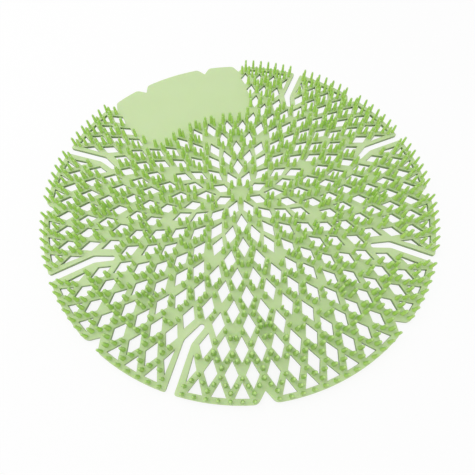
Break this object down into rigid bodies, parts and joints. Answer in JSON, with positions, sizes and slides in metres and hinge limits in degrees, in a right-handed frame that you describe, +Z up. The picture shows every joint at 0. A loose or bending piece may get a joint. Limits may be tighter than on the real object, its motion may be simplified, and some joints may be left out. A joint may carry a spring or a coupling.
{
  "type": "urinal deodorizer screen",
  "caption": "Thin round drain screen with rings of lozenge holes, upright pins on its top face, slots and notches round the rim, and one smooth panel.",
  "frame": {"origin": "centre of the disc, on the flat underside that lies in the bowl", "axes": "+Z up, out of the pinned top face; +Y from the centre to the middle of the smooth panel; +X to the right of that"},
  "size_m": [0.184, 0.184, 0.0067],
  "materials": {
    "green_plastic": "soft pale green plastic, slightly translucent, satin"
  },
  "bodies": {
    "root": {"screen": "green_plastic"}
  },
  "joints": []
}
